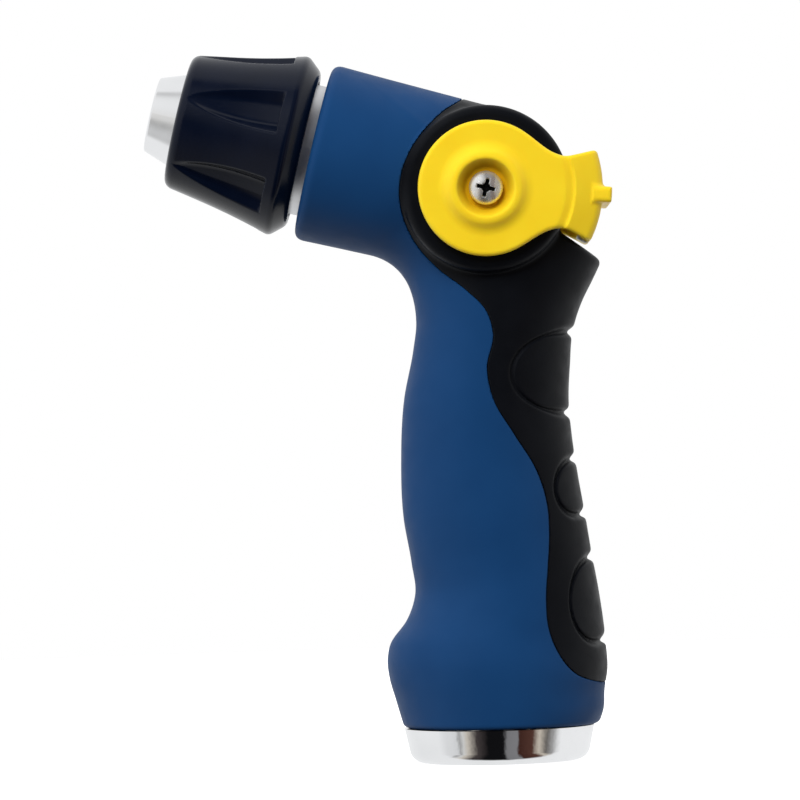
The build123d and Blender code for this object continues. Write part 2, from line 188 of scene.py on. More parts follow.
def field_mesh(name, field, low, high, step, most=None):
    """Closed mesh of the surface where field is zero, thinned to about most triangles."""
    sizes = [int(math.ceil((h - l) / step)) + 1 for l, h in zip(low, high)]
    xs, ys, zs = [l + step * np.arange(n) for l, n in zip(low, sizes)]
    values = np.stack([
        np.broadcast_to(field(x, ys[:, None], zs[None, :]), (len(ys), len(zs))) for x in xs
    ]).astype(np.float32)
    inside = values < 0
    corners = [np.array((i, j, k)) for i in (0, 1) for j in (0, 1) for k in (0, 1)]
    shape = [n - 1 for n in sizes]
    held = sum(
        inside[i:i + shape[0], j:j + shape[1], k:k + shape[2]].astype(np.int8)
        for i, j, k in corners
    )
    crossed = (held > 0) & (held < 8)
    cells = np.argwhere(crossed)
    numbers = np.full(shape, -1, np.int64)
    numbers[crossed] = np.arange(len(cells))
    at_corner = [values[tuple((cells + corner).T)] for corner in corners]
    total = np.zeros((len(cells), 3))
    count = np.zeros(len(cells))
    for a in range(8):
        for b in range(a + 1, 8):
            if np.abs(corners[a] - corners[b]).sum() != 1:
                continue
            hit = (at_corner[a] < 0) != (at_corner[b] < 0)
            drop = np.where(hit, at_corner[a] - at_corner[b], 1)
            t = np.where(hit, at_corner[a] / drop, 0)
            total += hit[:, None] * (corners[a] + t[:, None] * (corners[b] - corners[a]))
            count += hit
    points = np.array(low) + step * (cells + total / count[:, None])
    faces = []
    for axis in range(3):
        second, third = (axis + 1) % 3, (axis + 2) % 3
        first_half = np.take(inside, range(sizes[axis] - 1), axis)
        last_half = np.take(inside, range(1, sizes[axis]), axis)
        edges = np.argwhere(first_half != last_half)
        around = []
        for back_second, back_third in ((1, 1), (0, 1), (0, 0), (1, 0)):
            cell = edges.copy()
            cell[:, second] -= back_second
            cell[:, third] -= back_third
            around.append(numbers[tuple(cell.T)])
        quad = np.stack(around, 1)
        reverse = ~first_half[tuple(edges.T)]
        quad[reverse] = quad[reverse][:, ::-1]
        faces.append(quad)
    quads = np.concatenate(faces)
    points, normals = surface_points(field, points)
    for _ in range(RELAX_ROUNDS):
        points, normals = surface_points(field, relaxed(points, quads, RELAX_SHARE), 2)
    if most and 2 * len(quads) > most:
        points, quads = thinned(points, quads, most / (2 * len(quads)))
        points, normals = surface_points(field, points, 1)
    return mesh_piece(name, points, quads, normals)


def mesh_piece(name, points, faces, normals=None):
    """Smooth-shaded object from points in millimetres."""
    mesh = bpy.data.meshes.new(name)
    mesh.from_pydata((np.asarray(points) * MM).tolist(), [], np.asarray(faces).tolist())
    mesh.validate()
    mesh.polygons.foreach_set("use_smooth", [True] * len(mesh.polygons))
    if normals is not None:
        mesh.normals_split_custom_set_from_vertices(normals.tolist())
    piece = bpy.data.objects.new(name, mesh)
    bpy.context.scene.collection.objects.link(piece)
    return piece


# ---------------------------------------------------------------- soft mouldings

# Side view of the handle: height and x of its front, its back, and its half width.
front_line = smooth_curve([
    (7.7, -20.9), (13.9, -22.6), (18.9, -23.9), (22.9, -24.2), (26.4, -23.4), (31.3, -19.8),
    (36.9, -17.8), (43.9, -18.4), (53.9, -19.9), (66.9, -20.1), (79.9, -19.1), (90.7, -16.8),
    (96.9, -16.0), (102.9, -16.8), (107.9, -18.8), (114.9, -22.5),
])
back_line = smooth_curve([
    (7.7, 21.9), (10.9, 23.0), (14.9, 23.3), (19.9, 24.1), (24.9, 23.9), (36.9, 22.6), (44.9, 21.3),
    (53.9, 20.0), (62.9, 18.6), (70.9, 17.6), (78.9, 17.1), (86.9, 17.6), (92.9, 18.2), (96.9, 19.2),
    (100.9, 20.8), (104.9, 22.9), (108.9, 24.9), (114.9, 27.5),
])
half_width_line = smooth_curve([
    (7.7, 20.8), (13.9, 21.1), (20.9, 20.9), (29.9, 18.8), (38.9, 16.9), (55.9, 16.0), (73.9, 15.5),
    (90.9, 15.0), (105.9, 15.4), (116.9, 15.6),
])
CASTING_TOP = 7.75          # where the mouldings start above the base ring
HORN_ROOT = (15.2, 116.1)
HORN_SLOPE = math.radians(35)
HEAD_LENGTH = 38.9
HUB_RADIUS, HUB_HALF_WIDTH, HUB_SHOULDER = 18.2, 18.8, 2.2
HUB_HOLE = 10.3

head_radius = smooth_curve([(0, 18.8), (15, 19.1), (31, 19.45), (38, 19.65)])
HEAD_SAG = 0.45             # how far the rear of the head sits below the barrel's axis
# The head is a little narrower across than it is high, next to the hub.
head_half_width = smooth_curve([(0, 17.7), (10, 18.0), (22, 18.8), (38, 19.65)])

# Grooves round the three finger pads: middle x, middle z, half depth, half height.
PAD_GROOVES = [(17.5, 84.9, 12.9, 8.9), (18.2, 59.8, 4.8, 6.2), (21.8, 35.1, 5.8, 9.3)]
GROOVE_WIDTH, GROOVE_WIDENING = 0.34, 0.55      # the grooves widen towards the back
GROOVE_DEPTH, GROOVE_DEEPENING = 0.55, 0.70
GROOVE_REACH = 3            # how far forwards of its pad a groove may still be cut

# How widely neighbouring forms of the moulding run into each other.
HORN_BLEND, CASTING_TOP_BLEND, HEAD_FRONT_BLEND, HEAD_BLEND, HUB_BLEND = 1.4, 1.2, 2.4, 5.0, 1.3

# The casting under the mouldings, a little larger than in CAD.
CUP_HEIGHTS, CUP_RADII = [20, 27], [17.05, 12.05]
HANDLE_TOP_BELOW_PIVOT = 4
BARREL_RADIUS = 14.6
HOUSING_RADIUS, HOUSING_HALF_WIDTH = 14.05, 16.05


def handle_field(x, y, z):
    """The handle alone, an ellipse at each height."""
    front, back, half_width = front_line(z), back_line(z), half_width_line(z)
    middle, half_depth = (front + back) / 2, (back - front) / 2
    across, along = y / half_width, (x - middle) / half_depth
    reach = np.sqrt(across ** 2 + along ** 2) + 1e-6
    slope = np.sqrt((across / half_width) ** 2 + (along / half_depth) ** 2) + 1e-6
    return reach * (reach - 1) / slope


def groove_field(x, y, z):
    """How deep the finger pads' grooves are cut, at each point."""
    depth = 0
    towards_back = smooth_step(-7, -0.5, x - back_line(z))
    for middle_x, middle_z, half_depth, half_height in PAD_GROOVES:
        oval = np.hypot((x - middle_x) / half_depth, (z - middle_z) / half_height)
        distance = (oval - 1) * half_height
        width = GROOVE_WIDTH + GROOVE_WIDENING * towards_back
        deepest = GROOVE_DEPTH + GROOVE_DEEPENING * towards_back
        cut = deepest * np.exp(-(distance / width) ** 2)
        depth = np.maximum(depth, np.where(x > middle_x - half_depth - GROOVE_REACH, cut, 0))
    return depth


def form_field(x, y, z):
    """The whole soft moulding before it is split into blue and black."""
    forwards, up, _ = along_barrel(x, y, z)
    from_root_x, from_root_z = x - HORN_ROOT[0], z - HORN_ROOT[1]
    horn_top = from_root_x * math.sin(HORN_SLOPE) + from_root_z * math.cos(HORN_SLOPE)
    handle = smooth_max(handle_field(x, y, z) + groove_field(x, y, z), horn_top, HORN_BLEND)
    handle = smooth_max(handle, CASTING_TOP - z, CASTING_TOP_BLEND)
    radius = head_radius(forwards)
    squeeze = radius / head_half_width(forwards)
    from_axis = np.hypot(up + HEAD_SAG * (1 - forwards / HEAD_LENGTH), y * squeeze)
    head = smooth_max(from_axis - radius, forwards - HEAD_LENGTH, HEAD_FRONT_BLEND)
    head = np.maximum(head, -forwards)
    from_pivot = np.hypot(x, z - pivot_z)
    side = np.abs(y) - HUB_HALF_WIDTH + HUB_SHOULDER
    rim = from_pivot - HUB_RADIUS + HUB_SHOULDER
    hub = np.hypot(np.maximum(side, 0), np.maximum(rim, 0)) - HUB_SHOULDER
    hub = hub + np.minimum(np.maximum(side, rim), 0)
    return smooth_min(smooth_min(handle, head, HEAD_BLEND), hub, HUB_BLEND)


def casting_field(x, y, z):
    """The casting that the mouldings are moulded round."""
    cup = np.interp(z, CUP_HEIGHTS, CUP_RADII)
    handle = np.maximum(np.hypot(x, y) - cup, z - pivot_z + HANDLE_TOP_BELOW_PIVOT)
    forwards, _, radius = along_barrel(x, y, z)
    barrel = np.maximum(radius - BARREL_RADIUS, -forwards)
    from_pivot = np.hypot(x, z - pivot_z)
    housing = np.maximum(from_pivot - HOUSING_RADIUS, np.abs(y) - HOUSING_HALF_WIDTH)
    holes = from_pivot - HUB_HOLE
    return np.minimum(np.minimum(handle, barrel), np.minimum(housing, holes))


# The line between blue and black in side view, from the top of the head downwards.
SEAM = [
    (2.0, 153.7), (-5.0, 145.1), (-8.8, 142.5), (-12.3, 139.1), (-15.8, 134.5),
    (-18.0, 129.6), (-18.8, 124.5), (-18.0, 119.2), (-15.6, 113.9), (-11.2, 108.6),
    (-4.8, 103.3), (-0.7, 98.9), (0.8, 93.7), (-0.7, 86.2), (0.4, 79.7), (4.8, 71.7),
    (9.4, 63.8), (11.6, 56.2), (11.9, 49.8), (11.4, 42.8), (10.8, 35.0), (11.1, 29.8),
    (12.7, 24.8), (16.8, 19.3), (22.1, 17.1), (32, 16.7),
]
SEAM_GRID = 0.25
SEAM_LOW, SEAM_HIGH = (-50, 0), (32, 166)


def seam_distance_grid():
    """Distance from the seam on a grid over the side view, negative on the black side."""
    knots = np.array(SEAM, float)
    along = np.concatenate([[0], np.cumsum(np.linalg.norm(np.diff(knots, axis=0), axis=1))])
    dense = np.linspace(0, along[-1], 360)
    curve_x = smooth_curve(list(zip(along, knots[:, 0])))(dense)
    curve_z = smooth_curve(list(zip(along, knots[:, 1])))(dense)
    xs = np.arange(SEAM_LOW[0], SEAM_HIGH[0] + SEAM_GRID, SEAM_GRID)
    zs = np.arange(SEAM_LOW[1], SEAM_HIGH[1] + SEAM_GRID, SEAM_GRID)
    x, z = np.meshgrid(xs, zs, indexing="ij")
    nearest = np.full(x.shape, 1e9)
    sides = np.zeros(x.shape)
    for x0, z0, x1, z1 in zip(curve_x, curve_z, curve_x[1:], curve_z[1:]):
        dx, dz = x1 - x0, z1 - z0
        t = np.clip(((x - x0) * dx + (z - z0) * dz) / (dx * dx + dz * dz), 0, 1)
        distance = np.hypot(x - x0 - t * dx, z - z0 - t * dz)
        # Right of the line as it runs down is blue's side, left is black's.
        side = dx * (z - z0) - dz * (x - x0)
        closer = distance < nearest
        nearest = np.where(closer, distance, nearest)
        sides = np.where(closer, side, sides)
    return np.where(sides > 0, -nearest, nearest)


seam_grid = seam_distance_grid()


def seam_field(x, z):
    """Negative behind the seam, where the moulding is black."""
    column = np.clip((x - SEAM_LOW[0]) / SEAM_GRID, 0, seam_grid.shape[0] - 1.001)
    row = np.clip((z - SEAM_LOW[1]) / SEAM_GRID, 0, seam_grid.shape[1] - 1.001)
    i, j = np.floor(column).astype(int), np.floor(row).astype(int)
    s, t = column - i, row - j
    near = seam_grid[i, j] * (1 - t) + seam_grid[i, j + 1] * t
    far = seam_grid[i + 1, j] * (1 - t) + seam_grid[i + 1, j + 1] * t
    return near * (1 - s) + far * s


SEAM_ROUNDING = 0.25
SEAM_GAP = 0.02


def jacket_field(x, y, z):
    split = smooth_max(form_field(x, y, z), SEAM_GAP - seam_field(x, z), SEAM_ROUNDING)
    return np.maximum(split, -casting_field(x, y, z))


def grip_field(x, y, z):
    split = smooth_max(form_field(x, y, z), SEAM_GAP + seam_field(x, z), SEAM_ROUNDING)
    return np.maximum(split, -casting_field(x, y, z))


# ---------------------------------------------------------------- thumb lever

DISC_RADIUS = 14.75
PLATE_INSIDE, PLATE_OUTSIDE = 19.1, 22.1
INNER_BOSS_RADIUS, INNER_BOSS_FACE = 9.5, 16.9
CREST_RADIUS, CREST_FACE = 7.5, 23.8
CREST_SLOPE = 1.15          # radius lost for each millimetre that the raised ring climbs
RECESS_FLOOR, RECESS_FLOOR_RADIUS = 20.8, 4.6
RECESS_SLOPE = 0.58
STRAP_INSIDE, STRAP_OUTSIDE = 22.4, 25.4
STRAP_CORNER = 1.5
ARM_ANGLE = math.radians(-4.5)
RIB_RADIUS, RIB_HALF_WIDTH, RIB_HALF_LENGTH = 27.6, 1.75, 20.8
PAD_FLARE = 1.2             # how much further the pad reaches down than up
FLARE_START, FLARE_END = 17, 27
BEVEL_DEPTH, BEVEL_START, BEVEL_END = 0.55, 17.0, 18.9
LIP_HEIGHT, LIP_START, LIP_END = 0.38, 18.95, 19.4
PAD_FALL, PAD_FALL_START = 0.45, 19.6
ARM_BLEND = 5.5             # between the disc and the arm
BOSS_MIDDLE = 19
DRIVE_HALF, DRIVE_END = 4.05, 19.8              # square hole for the plug's end
SCREW_HOLE = 2.1
arm_half_height = smooth_curve([(0, 7.3), (14, 7.4), (17, 7.75), (20, 8.6), (24, 9.8), (28, 10.8)])


def side_fall(radius):
    """How far the lever's side face falls inwards: a bevel, a thin lip, then the pad."""
    bevel = BEVEL_DEPTH * smooth_step(BEVEL_START, BEVEL_END, radius)
    lip = LIP_HEIGHT * smooth_step(LIP_START, LIP_END, radius)
    return bevel - lip + PAD_FALL * np.maximum(radius - PAD_FALL_START, 0)


def rounded_wall(radius, side, reach, half_width, corner):
    """Distance from a drum about the pivot, whose rims are rounded."""
    past_rim = radius - reach + corner
    past_side = side - half_width + corner
    outside = np.hypot(np.maximum(past_rim, 0), np.maximum(past_side, 0))
    return outside + np.minimum(np.maximum(past_rim, past_side), 0) - corner


def lever_field(x, y, z):
    height = z - pivot_z
    side = np.abs(y)
    radius = np.hypot(x, height)
    along = x * math.cos(ARM_ANGLE) + height * math.sin(ARM_ANGLE)
    across = -x * math.sin(ARM_ANGLE) + height * math.cos(ARM_ANGLE)
    flare = PAD_FLARE * smooth_step(FLARE_START, FLARE_END, along) * (across < 0)
    arm = smooth_max(np.abs(across) - arm_half_height(along) - flare, -along, 1.0)
    outline = smooth_min(radius - DISC_RADIUS, arm, ARM_BLEND)
    fallen = side + side_fall(radius)
    outer = rounded_wall(radius, fallen, STRAP_OUTSIDE, PLATE_OUTSIDE, STRAP_CORNER)
    inner = rounded_wall(radius, side, STRAP_INSIDE, PLATE_INSIDE, STRAP_CORNER)
    yoke = smooth_max(smooth_max(outer, -inner, 0.6), outline, 1.0)
    rib = np.maximum(np.abs(across) - RIB_HALF_WIDTH, radius - RIB_RADIUS)
    rib = smooth_max(rib, side - RIB_HALF_LENGTH, 1.2)
    rib = np.maximum(rib, STRAP_INSIDE + 1 - along)
    yoke = smooth_min(yoke, smooth_max(rib, radius - RIB_RADIUS, 0.9), 1.0)
    crest = radius - CREST_RADIUS - CREST_SLOPE * (CREST_FACE - side)
    crest = crest / math.hypot(1, CREST_SLOPE)
    crest = np.maximum(smooth_max(crest, side - CREST_FACE, 0.5), PLATE_INSIDE + 1 - side)
    boss_side = np.abs(side - BOSS_MIDDLE) - BOSS_MIDDLE + INNER_BOSS_FACE
    inner_boss = np.maximum(radius - INNER_BOSS_RADIUS, boss_side)
    yoke = smooth_min(np.minimum(yoke, inner_boss), crest, 0.8)
    recess = radius - RECESS_FLOOR_RADIUS - RECESS_SLOPE * (side - RECESS_FLOOR)
    recess = smooth_max(recess / math.hypot(1, RECESS_SLOPE), RECESS_FLOOR - side, 0.3)
    yoke = smooth_max(yoke, -recess, 0.3)
    drive = np.maximum(np.maximum(np.abs(x), np.abs(height)) - DRIVE_HALF, side - DRIVE_END)
    return np.maximum(yoke, -np.minimum(drive, radius - SCREW_HOLE))


# ---------------------------------------------------------------- twist knob

KNOB_START, KNOB_END = 41.0, 69.4
KNOB_REAR_RADIUS, KNOB_MAX_RADIUS, KNOB_FRONT_RADIUS = 17.2, 20.2, 15.0
KNOB_MAX_STATION, KNOB_FRONT_STATION = 44.4, 67.7
KNOB_HOLLOW = 0.35          # how far the cone's sides curve in
KNOB_CHAMFER_SLOPE = 0.88
CONE_COSINE, CHAMFER_COSINE = 0.975, 0.75       # turn a radius into a distance
KNOB_CAVITY = (15.2, 45.0)  # radius and end of each hole
KNOB_BORE = (14.05, 66.0)
TIP_HOLE = 10.35
FLUTE_START, FLUTE_END = 46.6, 68.2
FLUTE_HALF_WIDTH, FLUTE_FLOOR_HALF_WIDTH, FLUTE_DEPTH = 5.9, 2.3, 2.6
FLUTE_SPACING, FLUTE_PHASE = 60.0, 19.0
FLUTE_FLOOR_POWER, FLUTE_WIDTH_POWER = 1.6, 3   # how late a flute's floor and width fade
FLUTE_END_SLOPE = 0.25


def knob_field(x, y, z):
    forwards, up, radius = along_barrel(x, y, z)
    angle = np.degrees(np.arctan2(up, -y))
    share = (forwards - KNOB_MAX_STATION) / (KNOB_FRONT_STATION - KNOB_MAX_STATION)
    hollow = KNOB_HOLLOW * np.sin(math.pi * np.clip(share, 0, 1))
    cone = KNOB_MAX_RADIUS + share * (KNOB_FRONT_RADIUS - KNOB_MAX_RADIUS) - hollow
    chamfer = KNOB_REAR_RADIUS + (forwards - KNOB_START) * KNOB_CHAMFER_SLOPE
    outer = smooth_max((radius - cone) * CONE_COSINE, (radius - chamfer) * CHAMFER_COSINE, 0.8)
    outer = smooth_max(smooth_max(outer, KNOB_START - forwards, 0.8), forwards - KNOB_END, 1.9)
    turn = (angle - FLUTE_PHASE + FLUTE_SPACING / 2) % FLUTE_SPACING - FLUTE_SPACING / 2
    tangent = radius * np.abs(np.sin(np.radians(turn)))
    normal = radius * np.cos(np.radians(turn))
    s = np.clip((forwards - FLUTE_START) / (FLUTE_END - FLUTE_START), 0, 1)
    floor = cone - FLUTE_DEPTH * (1 - s ** FLUTE_FLOOR_POWER)
    wall_slope = (FLUTE_HALF_WIDTH - FLUTE_FLOOR_HALF_WIDTH) / FLUTE_DEPTH
    half_floor = FLUTE_FLOOR_HALF_WIDTH * (1 - s ** FLUTE_WIDTH_POWER)
    wall = tangent - half_floor - (normal - floor) * wall_slope
    flute = smooth_max(floor - normal, wall / math.hypot(1, wall_slope), 0.5)
    flute = smooth_max(flute, FLUTE_START - forwards + FLUTE_END_SLOPE * (normal - floor), 0.5)
    outer = smooth_max(outer, -flute, 0.3)
    cavity = np.maximum(radius - KNOB_CAVITY[0], forwards - KNOB_CAVITY[1])
    bore = np.maximum(radius - KNOB_BORE[0], forwards - KNOB_BORE[1])
    hole = np.minimum(np.minimum(cavity, bore), radius - TIP_HOLE)
    return smooth_max(outer, -hole, 0.3)


# ---------------------------------------------------------------- screws

SCREW_RADIUS, SCREW_TIP = 2.0, 12.0
HEAD_RADIUS, HEAD_BASE, HEAD_TOP = 3.7, 21.3, 23.7
DOME_RADIUS = 5.4
CROSS_ANGLE = math.radians(-14.5)
CROSS_HALF_LENGTH, CROSS_HALF_WIDTH, CROSS_DEPTH = 2.6, 0.46, 1.5
CROSS_END_TAPER, CROSS_SIDE_TAPER = 0.9, 0.12
CROSS_CORE_RADIUS, CROSS_CORE_TAPER = 1.15, 0.55
SCREW_TIP_RADIUS = 1.4


def screw_field(x, y, z):
    side = np.abs(y)
    height = z - pivot_z
    radius = np.hypot(x, height)
    dome = np.hypot(radius, side - HEAD_TOP + DOME_RADIUS) - DOME_RADIUS
    head = smooth_max(smooth_max(dome, radius - HEAD_RADIUS, 0.3), HEAD_BASE - side, 0.15)
    shank_ends = np.maximum(SCREW_TIP - side, side - HEAD_BASE - 0.5)
    shank = np.maximum(radius - SCREW_RADIUS, shank_ends)
    shank = np.maximum(shank, radius + SCREW_TIP - side - SCREW_TIP_RADIUS)
    along = np.abs(x * math.cos(CROSS_ANGLE) + height * math.sin(CROSS_ANGLE))
    across = np.abs(-x * math.sin(CROSS_ANGLE) + height * math.cos(CROSS_ANGLE))
    sunk = HEAD_TOP - side
    cross = radius - CROSS_CORE_RADIUS + CROSS_CORE_TAPER * sunk
    for lengthways, sideways in ((along, across), (across, along)):
        arm_end = lengthways - CROSS_HALF_LENGTH + CROSS_END_TAPER * sunk
        arm_side = sideways - CROSS_HALF_WIDTH + CROSS_SIDE_TAPER * sunk
        cross = np.minimum(cross, np.maximum(arm_end, arm_side))
    cross = np.maximum(cross, sunk - CROSS_DEPTH)
    return smooth_max(np.minimum(head, shank), -cross, 0.12)


# ---------------------------------------------------------------- hose thread

THREAD_PITCH = 25.4 / 11.5
THREAD_ROOT, THREAD_CREST = 13.62, 12.19
THREAD_TURNS = 4.6
THREAD_START = 1.6
THREAD_SEGMENTS = 72        # sides in one turn


def hose_thread():
    """One closed ridge that winds up the inlet, fading in and out at its ends."""
    count = int(THREAD_TURNS * THREAD_SEGMENTS)
    flank = THREAD_PITCH * 0.44
    points, quads = [], []
    for i in range(count + 1):
        turn = i / THREAD_SEGMENTS
        fade = min(1, turn * 4, (THREAD_TURNS - turn) * 4)
        crest = THREAD_ROOT - (THREAD_ROOT - THREAD_CREST) * max(fade, 0.04)
        angle = 2 * math.pi * turn
        middle = THREAD_START + THREAD_PITCH * turn
        outline = [
            (THREAD_ROOT + 0.1, -flank), (THREAD_ROOT + 0.1, flank),
            (crest, THREAD_PITCH * 0.07), (crest, -THREAD_PITCH * 0.07),
        ]
        for radius, height in outline:
            points.append((radius * math.cos(angle), radius * math.sin(angle), middle + height))
        if i:
            base = 4 * (i - 1)
            for k in range(4):
                n = (k + 1) % 4
                quads.append((base + k, base + n, base + 4 + n, base + 4 + k))
    last = 4 * count
    quads += [(3, 2, 1, 0), (last, last + 1, last + 2, last + 3)]
    piece = mesh_piece("hose_thread", points, quads)
    piece.data.set_sharp_from_angle(angle=math.radians(35))
    return piece


# ---------------------------------------------------------------- materials

NOISE_LOW, NOISE_HIGH = 0.3, 0.7                # where most of a noise's values lie


class Finish:
    """A Principled material whose colour, roughness and relief vary over the surface."""

    def __init__(self, name, roughness, metallic=0.0, **sockets):
        self.material = bpy.data.materials.new(name)
        self.material.use_nodes = True
        self.tree = self.material.node_tree
        self.shader = self.tree.nodes["Principled BSDF"]
        self.place = self.tree.nodes.new("ShaderNodeTexCoord")
        self.shader.inputs["Metallic"].default_value = metallic
        self.shader.inputs["Roughness"].default_value = roughness
        for socket, value in sockets.items():
            self.shader.inputs[socket.replace("_", " ")].default_value = value
        self.relief = None

    def noise(self, size, detail=3.0):
        """Noise whose blotches are about size metres across."""
        mapping = self.tree.nodes.new("ShaderNodeMapping")
        mapping.inputs["Scale"].default_value = [1 / size] * 3
        self.tree.links.new(self.place.outputs["Object"], mapping.inputs["Vector"])
        texture = self.tree.nodes.new("ShaderNodeTexNoise")
        texture.inputs["Scale"].default_value = 1.0
        texture.inputs["Detail"].default_value = detail
        self.tree.links.new(mapping.outputs["Vector"], texture.inputs["Vector"])
        return texture.outputs["Fac"]

    def colours(self, size, dark, light):
        """Colour that wanders between dark and light."""
        ramp = self.tree.nodes.new("ShaderNodeValToRGB")
        ramp.color_ramp.elements[0].position = NOISE_LOW
        ramp.color_ramp.elements[0].color = (*dark, 1)
        ramp.color_ramp.elements[1].position = NOISE_HIGH
        ramp.color_ramp.elements[1].color = (*light, 1)
        self.tree.links.new(self.noise(size), ramp.inputs["Fac"])
        self.tree.links.new(ramp.outputs["Color"], self.shader.inputs["Base Color"])
        return self

    def paint_shade_inside(self, centre, near, far, colour):
        """Painted shade: blends to the colour from far to near the centre and its mirror image in Y."""
        mirrored = self.tree.nodes.new("ShaderNodeVectorMath")
        mirrored.operation = "ABSOLUTE"
        away = self.tree.nodes.new("ShaderNodeVectorMath")
        away.operation = "DISTANCE"
        away.inputs[1].default_value = centre
        scale = self.tree.nodes.new("ShaderNodeMapRange")
        scale.inputs["From Min"].default_value = near
        scale.inputs["From Max"].default_value = far
        mix = self.tree.nodes.new("ShaderNodeMixRGB")
        mix.inputs["Color1"].default_value = (*colour, 1)
        clean = self.shader.inputs["Base Color"].links[0].from_socket
        self.tree.links.new(self.place.outputs["Object"], mirrored.inputs[0])
        self.tree.links.new(mirrored.outputs["Vector"], away.inputs[0])
        self.tree.links.new(away.outputs["Value"], scale.inputs["Value"])
        self.tree.links.new(scale.outputs["Result"], mix.inputs["Fac"])
        self.tree.links.new(clean, mix.inputs["Color2"])
        self.tree.links.new(mix.outputs["Color"], self.shader.inputs["Base Color"])
        return self

    def gloss(self, size, low, high):
        """Roughness that wanders between low and high."""
        scale = self.tree.nodes.new("ShaderNodeMapRange")
        scale.inputs["From Min"].default_value = NOISE_LOW
        scale.inputs["From Max"].default_value = NOISE_HIGH
        scale.inputs["To Min"].default_value = low
        scale.inputs["To Max"].default_value = high
        self.tree.links.new(self.noise(size, 4.0), scale.inputs["Value"])
        self.tree.links.new(scale.outputs["Result"], self.shader.inputs["Roughness"])
        return self

    def polish(self, low_height, high_height, low_roughness, high_roughness):
        """Roughness that changes with the height above the base, in metres."""
        split = self.tree.nodes.new("ShaderNodeSeparateXYZ")
        scale = self.tree.nodes.new("ShaderNodeMapRange")
        scale.inputs["From Min"].default_value = low_height
        scale.inputs["From Max"].default_value = high_height
        scale.inputs["To Min"].default_value = low_roughness
        scale.inputs["To Max"].default_value = high_roughness
        self.tree.links.new(self.place.outputs["Object"], split.inputs["Vector"])
        self.tree.links.new(split.outputs["Z"], scale.inputs["Value"])
        self.tree.links.new(scale.outputs["Result"], self.shader.inputs["Roughness"])
        return self

    def bumps(self, size, height, detail=2.0):
        """Fine relief, height metres from its lowest to its highest points."""
        bump = self.tree.nodes.new("ShaderNodeBump")
        bump.inputs["Strength"].default_value = 1.0
        bump.inputs["Distance"].default_value = height
        self.tree.links.new(self.noise(size, detail), bump.inputs["Height"])
        if self.relief is not None:
            self.tree.links.new(self.relief.outputs["Normal"], bump.inputs["Normal"])
        self.relief = bump
        self.tree.links.new(bump.outputs["Normal"], self.shader.inputs["Normal"])
        return self


# Painted shade: distances over which the yellow is painted a deeper golden brown in the screws' recesses, and from
# where.
RECESS_SHADE_SIDE = 0.0198
RECESS_SHADE_NEAR, RECESS_SHADE_FAR = 0.0044, 0.0072
# Painted shade: distances over which the screws' steel is painted dark below their domes, into the cross.
CROSS_SHADE_NEAR, CROSS_SHADE_FAR = 0.00495, 0.00515


